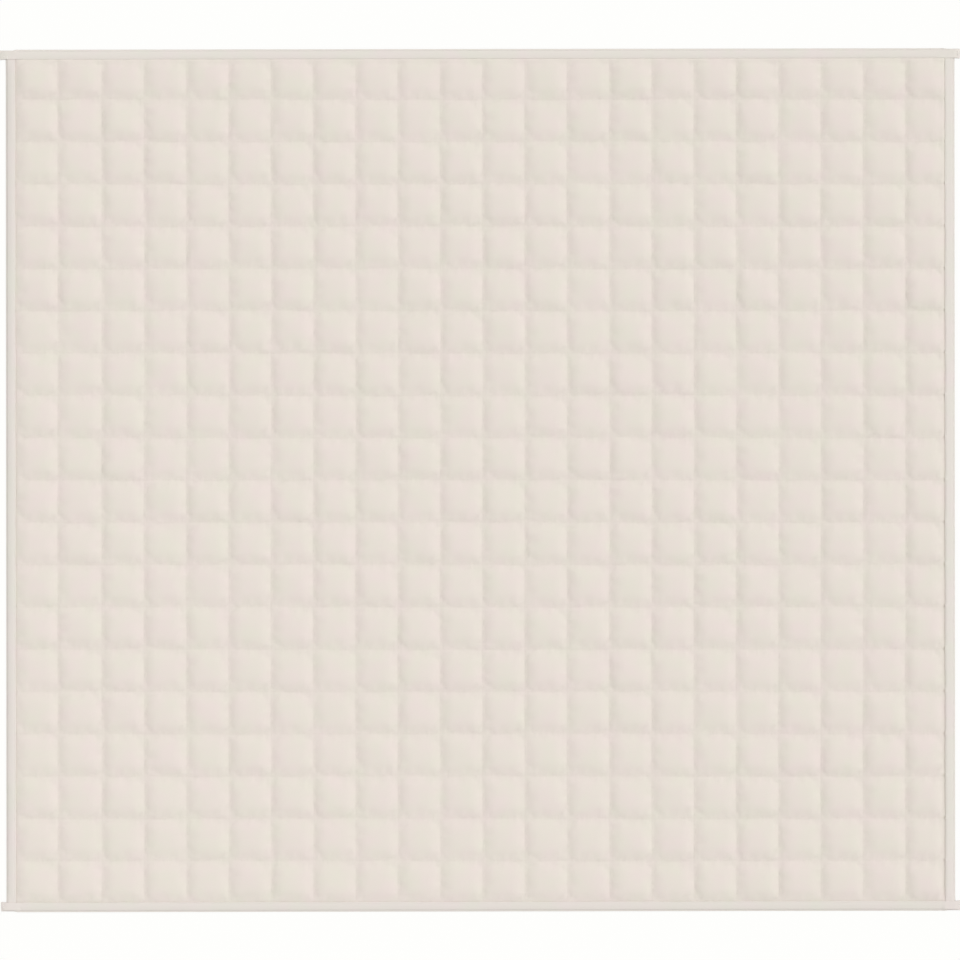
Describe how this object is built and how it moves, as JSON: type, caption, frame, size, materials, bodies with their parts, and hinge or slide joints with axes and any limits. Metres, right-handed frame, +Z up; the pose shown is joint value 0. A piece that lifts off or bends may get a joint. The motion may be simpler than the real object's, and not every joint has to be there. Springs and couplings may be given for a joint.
{
  "type": "weighted blanket",
  "caption": "Flat weighted blanket: square crowned pockets between sewn channels, bound by folded cloth strips with projecting ends.",
  "frame": {"origin": "centre of the blanket's outline, on the surface it lies on", "axes": "+X across the blanket along its longer side, +Y towards its top edge, +Z up out of its face"},
  "size_m": [2.227, 2, 0.016],
  "materials": {
    "quilt_cloth": "matte",
    "binding_cloth": "matte"
  },
  "bodies": {
    "root": {"quilt": "quilt_cloth", "binding_left": "binding_cloth", "binding_right": "binding_cloth", "binding_top": "binding_cloth", "binding_bottom": "binding_cloth"}
  },
  "joints": []
}
